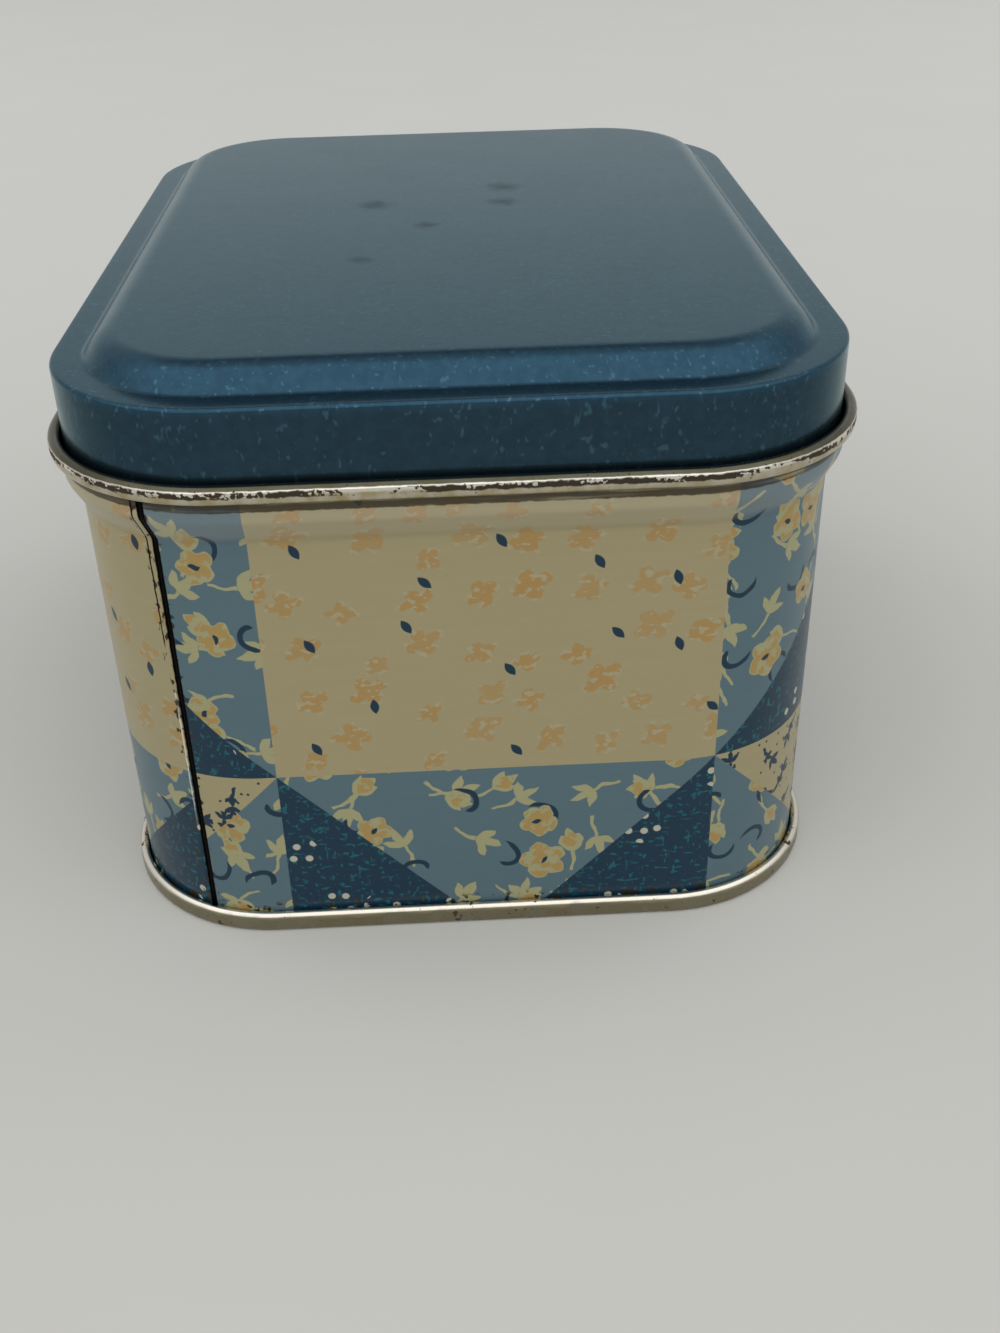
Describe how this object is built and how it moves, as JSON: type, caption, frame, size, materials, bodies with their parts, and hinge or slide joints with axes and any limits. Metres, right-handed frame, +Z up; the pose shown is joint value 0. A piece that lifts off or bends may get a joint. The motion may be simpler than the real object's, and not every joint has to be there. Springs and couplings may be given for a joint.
{
  "type": "tin box",
  "caption": "Rounded rectangular tinplate keepsake box with a patchwork print, flared mouth with rolled rim, rolled base seam and a raised-panel lift-off lid.",
  "frame": {"origin": "middle of the base, on the plane that the base seam stands on", "axes": "+Z up along the way the lid lifts, X across the width, Y along the depth, -Y the short end with the side seam at its left corner"},
  "size_m": [0.105, 0.1394, 0.0819],
  "materials": {
    "printed_wall": "gloss printed tinplate, patchwork of cream, slate blue and navy",
    "bare_tinplate": "bare tinplate with a warm lacquer and rust specks",
    "collar_tinplate": "bare tinplate",
    "speckled_lid": "gloss slate blue with a fine speckle"
  },
  "bodies": {
    "tin": {"body_wall": "printed_wall", "bottom_end": "bare_tinplate", "neck_collar": "collar_tinplate"},
    "lid": {"lid": "speckled_lid"}
  },
  "joints": [
    {"name": "lid_lift", "type": "slide", "parent": "tin", "child": "lid", "axis": [0, 0, 1], "range_m": [0, 0.07]}
  ]
}
